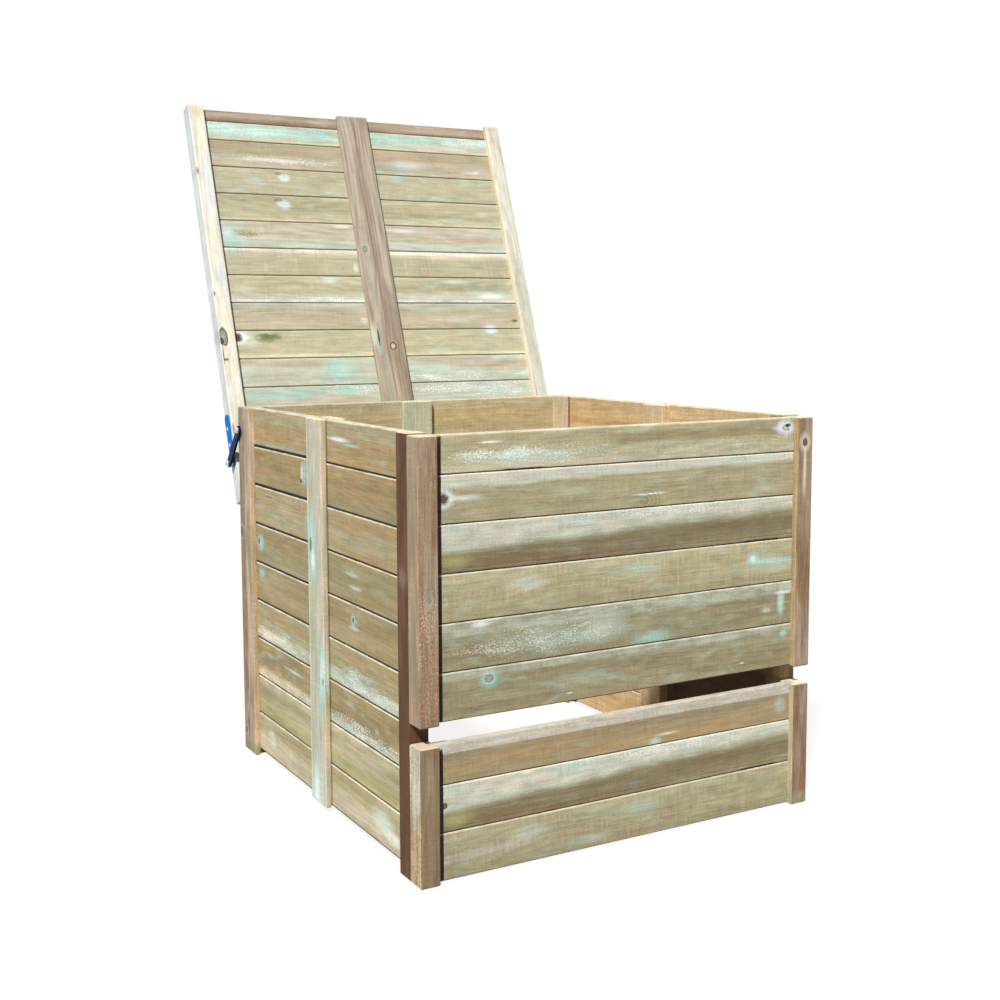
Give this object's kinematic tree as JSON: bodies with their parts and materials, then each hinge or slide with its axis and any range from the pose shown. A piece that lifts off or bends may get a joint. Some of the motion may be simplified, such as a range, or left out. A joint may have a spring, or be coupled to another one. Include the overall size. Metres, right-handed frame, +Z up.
{
  "type": "wooden composter",
  "caption": "Square garden composter of tongue-and-groove boards in grooved posts, open bottomed, with a lift-off front hatch and a lid that swings over the back on link arms.",
  "frame": {"origin": "ground level, at the centre of the whole part's box with the lid open", "axes": "+Z up, -Y out of the front with the hatch, +X to the right seen from the front"},
  "size_m": [0.9196, 1.315, 1.5367],
  "materials": {
    "weathered_board": "rough-sawn pressure-treated softwood, weathered olive-tan with copper-green stains",
    "lid_board": "rough-sawn pressure-treated softwood, sun-bleached tan",
    "post": "rough-sawn pressure-treated softwood, reddish brown",
    "batten": "rough-sawn pressure-treated softwood, grey-brown",
    "pale_batten": "planed softwood, sun-bleached cream",
    "plain_strip": "plain brown softwood",
    "blue_plate": "bright blue powder coat on steel",
    "navy_arm": "dark navy powder coat on steel",
    "zinc": "bright zinc-plated steel"
  },
  "bodies": {
    "box": {"left_front_post": "post", "left_rear_post": "batten", "left_middle_batten": "batten", "right_front_post": "post", "right_rear_post": "batten", "right_middle_batten": "batten", "rear_left_batten": "batten", "rear_right_batten": "batten", "inner_middle_battens": "batten", "front_left_batten": "post", "front_right_batten": "post", "right_boards": "weathered_board", "rear_boards": "weathered_board", "left_board_1": "weathered_board", "left_board_2": "weathered_board", "left_board_3": "weathered_board", "left_board_4": "weathered_board", "left_board_5": "weathered_board", "left_board_6": "weathered_board", "left_board_7": "weathered_board", "left_board_8": "weathered_board", "left_board_9": "weathered_board", "front_board_1": "weathered_board", "front_board_2": "weathered_board", "front_board_3": "weathered_board", "front_board_4": "weathered_board", "front_board_5": "weathered_board", "front_board_6": "weathered_board", "post_pivot_bolts": "zinc", "hanger_screws": "zinc", "panel_hanger_plates": "zinc"},
    "hatch": {"hatch_left_batten": "batten", "hatch_right_batten": "batten", "hatch_board_1": "weathered_board", "hatch_board_2": "weathered_board", "hatch_board_3": "weathered_board", "hatch_hanger_plates": "zinc"},
    "links": {"link_arms": "navy_arm"},
    "lid": {"lid_left_batten": "pale_batten", "lid_right_batten": "pale_batten", "lid_middle_batten": "batten", "lid_front_strip": "plain_strip", "lid_board_1": "lid_board", "lid_board_2": "lid_board", "lid_board_3": "lid_board", "lid_board_4": "lid_board", "lid_board_5": "lid_board", "lid_board_6": "lid_board", "lid_board_7": "lid_board", "lid_board_8": "lid_board", "lid_board_9": "lid_board", "lid_board_10": "lid_board", "lid_board_11": "lid_board", "lid_board_12": "lid_board", "lid_board_13": "lid_board", "lid_board_14": "lid_board", "lid_hinge_plates": "blue_plate", "hinge_plate_screws": "zinc", "lid_pivot_bolts": "zinc"}
  },
  "joints": [
    {"name": "hatch_lift", "type": "slide", "parent": "box", "child": "hatch", "axis": [0, 0, 1], "range_m": [0, 0.022]},
    {"name": "link_swing", "type": "hinge", "parent": "box", "child": "links", "pos_m": [0, 0.25452, 0.75229], "axis": [1, 0, 0], "range_deg": [0, 185.15]},
    {"name": "lid_swing", "type": "hinge", "parent": "links", "child": "lid", "pos_m": [0, 0.3264, 0.6698], "axis": [-1, 0, 0], "range_deg": [0, 75.15]}
  ],
  "couplings": [
    {"joint": "link_swing", "follows": "lid_swing", "ratio": 2.4637}
  ]
}
